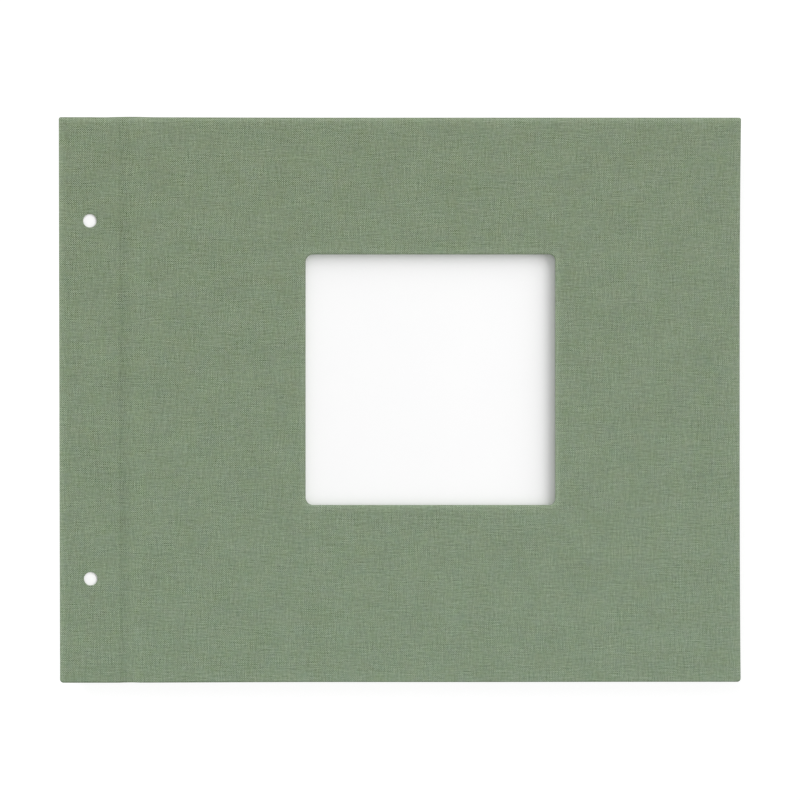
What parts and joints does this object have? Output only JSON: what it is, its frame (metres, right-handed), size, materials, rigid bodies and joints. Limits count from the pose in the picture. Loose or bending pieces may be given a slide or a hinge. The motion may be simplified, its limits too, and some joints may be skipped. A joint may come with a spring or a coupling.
{
  "type": "scrapbook album",
  "caption": "Linen-covered landscape scrapbook album with a square window in the front cover, hinged binding strips, screw posts and turning white sheets.",
  "frame": {"origin": "under the middle of the covers, on the outer face of the back cover", "axes": "+X to the fore edge, +Y to the head of the album, +Z out of the front cover"},
  "size_m": [0.3014, 0.25, 0.0203],
  "materials": {
    "linen": "sage green book linen, matt, fine plain weave",
    "greyboard": "raw greyboard",
    "guard_card": "smooth white card",
    "window_card": "smooth bright white card",
    "lining_paper": "uncoated white lining paper",
    "sheet_paper": "uncoated white photo card",
    "post_plastic": "white moulded nylon"
  },
  "bodies": {
    "binding": {"front_strip_board": "greyboard", "front_strip_cloth": "linen", "front_hinge_cloth": "linen", "front_guard": "guard_card", "back_strip_board": "greyboard", "back_strip_cloth": "linen", "back_hinge_cloth": "linen", "back_guard": "guard_card", "post_barrel_top": "post_plastic", "post_barrel_bottom": "post_plastic", "sheet_01_stub": "sheet_paper", "sheet_02_stub": "sheet_paper", "sheet_03_stub": "sheet_paper", "sheet_04_stub": "sheet_paper", "sheet_05_stub": "sheet_paper", "sheet_06_stub": "sheet_paper", "sheet_07_stub": "sheet_paper", "sheet_08_stub": "sheet_paper", "sheet_09_stub": "sheet_paper", "sheet_10_stub": "sheet_paper", "sheet_11_stub": "sheet_paper", "sheet_12_stub": "sheet_paper", "sheet_13_stub": "sheet_paper", "sheet_14_stub": "sheet_paper", "sheet_15_stub": "sheet_paper", "sheet_16_stub": "sheet_paper", "sheet_17_stub": "sheet_paper", "sheet_18_stub": "sheet_paper", "sheet_19_stub": "sheet_paper", "sheet_20_stub": "sheet_paper"},
    "front_cover": {"front_board": "greyboard", "front_cloth": "linen", "front_lining": "lining_paper", "window_card": "window_card"},
    "back_cover": {"back_board": "greyboard", "back_cloth": "linen", "back_lining": "lining_paper"},
    "post_screw_top": {"post_screw_top": "post_plastic"},
    "post_screw_bottom": {"post_screw_bottom": "post_plastic"},
    "sheet_01": {"sheet_01_leaf": "sheet_paper"},
    "sheet_02": {"sheet_02_leaf": "sheet_paper"},
    "sheet_03": {"sheet_03_leaf": "sheet_paper"},
    "sheet_04": {"sheet_04_leaf": "sheet_paper"},
    "sheet_05": {"sheet_05_leaf": "sheet_paper"},
    "sheet_06": {"sheet_06_leaf": "sheet_paper"},
    "sheet_07": {"sheet_07_leaf": "sheet_paper"},
    "sheet_08": {"sheet_08_leaf": "sheet_paper"},
    "sheet_09": {"sheet_09_leaf": "sheet_paper"},
    "sheet_10": {"sheet_10_leaf": "sheet_paper"},
    "sheet_11": {"sheet_11_leaf": "sheet_paper"},
    "sheet_12": {"sheet_12_leaf": "sheet_paper"},
    "sheet_13": {"sheet_13_leaf": "sheet_paper"},
    "sheet_14": {"sheet_14_leaf": "sheet_paper"},
    "sheet_15": {"sheet_15_leaf": "sheet_paper"},
    "sheet_16": {"sheet_16_leaf": "sheet_paper"},
    "sheet_17": {"sheet_17_leaf": "sheet_paper"},
    "sheet_18": {"sheet_18_leaf": "sheet_paper"},
    "sheet_19": {"sheet_19_leaf": "sheet_paper"},
    "sheet_20": {"sheet_20_leaf": "sheet_paper"}
  },
  "joints": [
    {"name": "front_cover_hinge", "type": "hinge", "parent": "binding", "child": "front_cover", "pos_m": [-0.1183, 0, 0.0206], "axis": [0, -1, 0], "range_deg": [0, 175], "deforming": ["front_hinge_cloth"]},
    {"name": "back_cover_hinge", "type": "hinge", "parent": "binding", "child": "back_cover", "pos_m": [-0.1183, 0, -0.0003], "axis": [0, -1, 0], "range_deg": [-175, 0], "deforming": ["back_hinge_cloth"]},
    {"name": "post_screw_top_turn", "type": "hinge", "parent": "binding", "child": "post_screw_top", "pos_m": [-0.137, 0.07925, 0.0003], "axis": [0, 0, 1], "continuous": true},
    {"name": "post_screw_bottom_turn", "type": "hinge", "parent": "binding", "child": "post_screw_bottom", "pos_m": [-0.137, -0.07925, 0.0003], "axis": [0, 0, 1], "continuous": true},
    {"name": "sheet_01_turn", "type": "hinge", "parent": "binding", "child": "sheet_01", "pos_m": [-0.1183, 0, 0.0206], "axis": [0, -1, 0], "range_deg": [0, 172.38]},
    {"name": "sheet_02_turn", "type": "hinge", "parent": "binding", "child": "sheet_02", "pos_m": [-0.1183, 0, 0.0206], "axis": [0, -1, 0], "range_deg": [0, 170.97]},
    {"name": "sheet_03_turn", "type": "hinge", "parent": "binding", "child": "sheet_03", "pos_m": [-0.1183, 0, 0.0206], "axis": [0, -1, 0], "range_deg": [0, 169.57]},
    {"name": "sheet_04_turn", "type": "hinge", "parent": "binding", "child": "sheet_04", "pos_m": [-0.1183, 0, 0.0206], "axis": [0, -1, 0], "range_deg": [0, 168.18]},
    {"name": "sheet_05_turn", "type": "hinge", "parent": "binding", "child": "sheet_05", "pos_m": [-0.1183, 0, 0.0206], "axis": [0, -1, 0], "range_deg": [0, 166.78]},
    {"name": "sheet_06_turn", "type": "hinge", "parent": "binding", "child": "sheet_06", "pos_m": [-0.1183, 0, 0.0206], "axis": [0, -1, 0], "range_deg": [0, 165.38]},
    {"name": "sheet_07_turn", "type": "hinge", "parent": "binding", "child": "sheet_07", "pos_m": [-0.1183, 0, 0.0206], "axis": [0, -1, 0], "range_deg": [0, 163.97]},
    {"name": "sheet_08_turn", "type": "hinge", "parent": "binding", "child": "sheet_08", "pos_m": [-0.1183, 0, 0.0206], "axis": [0, -1, 0], "range_deg": [0, 162.57]},
    {"name": "sheet_09_turn", "type": "hinge", "parent": "binding", "child": "sheet_09", "pos_m": [-0.1183, 0, 0.0206], "axis": [0, -1, 0], "range_deg": [0, 161.18]},
    {"name": "sheet_10_turn", "type": "hinge", "parent": "binding", "child": "sheet_10", "pos_m": [-0.1183, 0, 0.0206], "axis": [0, -1, 0], "range_deg": [0, 159.78]},
    {"name": "sheet_11_turn", "type": "hinge", "parent": "binding", "child": "sheet_11", "pos_m": [-0.1183, 0, 0.0206], "axis": [0, -1, 0], "range_deg": [0, 17.5]},
    {"name": "sheet_12_turn", "type": "hinge", "parent": "binding", "child": "sheet_12", "pos_m": [-0.1183, 0, 0.0206], "axis": [0, -1, 0], "range_deg": [0, 15.75]},
    {"name": "sheet_13_turn", "type": "hinge", "parent": "binding", "child": "sheet_13", "pos_m": [-0.1183, 0, 0.0206], "axis": [0, -1, 0], "range_deg": [0, 14]},
    {"name": "sheet_14_turn", "type": "hinge", "parent": "binding", "child": "sheet_14", "pos_m": [-0.1183, 0, 0.0206], "axis": [0, -1, 0], "range_deg": [0, 12.25]},
    {"name": "sheet_15_turn", "type": "hinge", "parent": "binding", "child": "sheet_15", "pos_m": [-0.1183, 0, 0.0206], "axis": [0, -1, 0], "range_deg": [0, 10.5]},
    {"name": "sheet_16_turn", "type": "hinge", "parent": "binding", "child": "sheet_16", "pos_m": [-0.1183, 0, 0.0206], "axis": [0, -1, 0], "range_deg": [0, 8.75]},
    {"name": "sheet_17_turn", "type": "hinge", "parent": "binding", "child": "sheet_17", "pos_m": [-0.1183, 0, 0.0206], "axis": [0, -1, 0], "range_deg": [0, 7]},
    {"name": "sheet_18_turn", "type": "hinge", "parent": "binding", "child": "sheet_18", "pos_m": [-0.1183, 0, 0.0206], "axis": [0, -1, 0], "range_deg": [0, 5.25]},
    {"name": "sheet_19_turn", "type": "hinge", "parent": "binding", "child": "sheet_19", "pos_m": [-0.1183, 0, 0.0206], "axis": [0, -1, 0], "range_deg": [0, 3.5]},
    {"name": "sheet_20_turn", "type": "hinge", "parent": "binding", "child": "sheet_20", "pos_m": [-0.1183, 0, 0.0206], "axis": [0, -1, 0], "range_deg": [0, 1.75]}
  ],
  "couplings": [
    {"joint": "sheet_01_turn", "follows": "front_cover_hinge", "ratio": 0.985},
    {"joint": "sheet_02_turn", "follows": "front_cover_hinge", "ratio": 0.977},
    {"joint": "sheet_03_turn", "follows": "front_cover_hinge", "ratio": 0.969},
    {"joint": "sheet_04_turn", "follows": "front_cover_hinge", "ratio": 0.961},
    {"joint": "sheet_05_turn", "follows": "front_cover_hinge", "ratio": 0.953},
    {"joint": "sheet_06_turn", "follows": "front_cover_hinge", "ratio": 0.945},
    {"joint": "sheet_07_turn", "follows": "front_cover_hinge", "ratio": 0.937},
    {"joint": "sheet_08_turn", "follows": "front_cover_hinge", "ratio": 0.929},
    {"joint": "sheet_09_turn", "follows": "front_cover_hinge", "ratio": 0.921},
    {"joint": "sheet_10_turn", "follows": "front_cover_hinge", "ratio": 0.913},
    {"joint": "sheet_11_turn", "follows": "front_cover_hinge", "ratio": 0.1},
    {"joint": "sheet_12_turn", "follows": "front_cover_hinge", "ratio": 0.09},
    {"joint": "sheet_13_turn", "follows": "front_cover_hinge", "ratio": 0.08},
    {"joint": "sheet_14_turn", "follows": "front_cover_hinge", "ratio": 0.07},
    {"joint": "sheet_15_turn", "follows": "front_cover_hinge", "ratio": 0.06},
    {"joint": "sheet_16_turn", "follows": "front_cover_hinge", "ratio": 0.05},
    {"joint": "sheet_17_turn", "follows": "front_cover_hinge", "ratio": 0.04},
    {"joint": "sheet_18_turn", "follows": "front_cover_hinge", "ratio": 0.03},
    {"joint": "sheet_19_turn", "follows": "front_cover_hinge", "ratio": 0.02},
    {"joint": "sheet_20_turn", "follows": "front_cover_hinge", "ratio": 0.01}
  ]
}
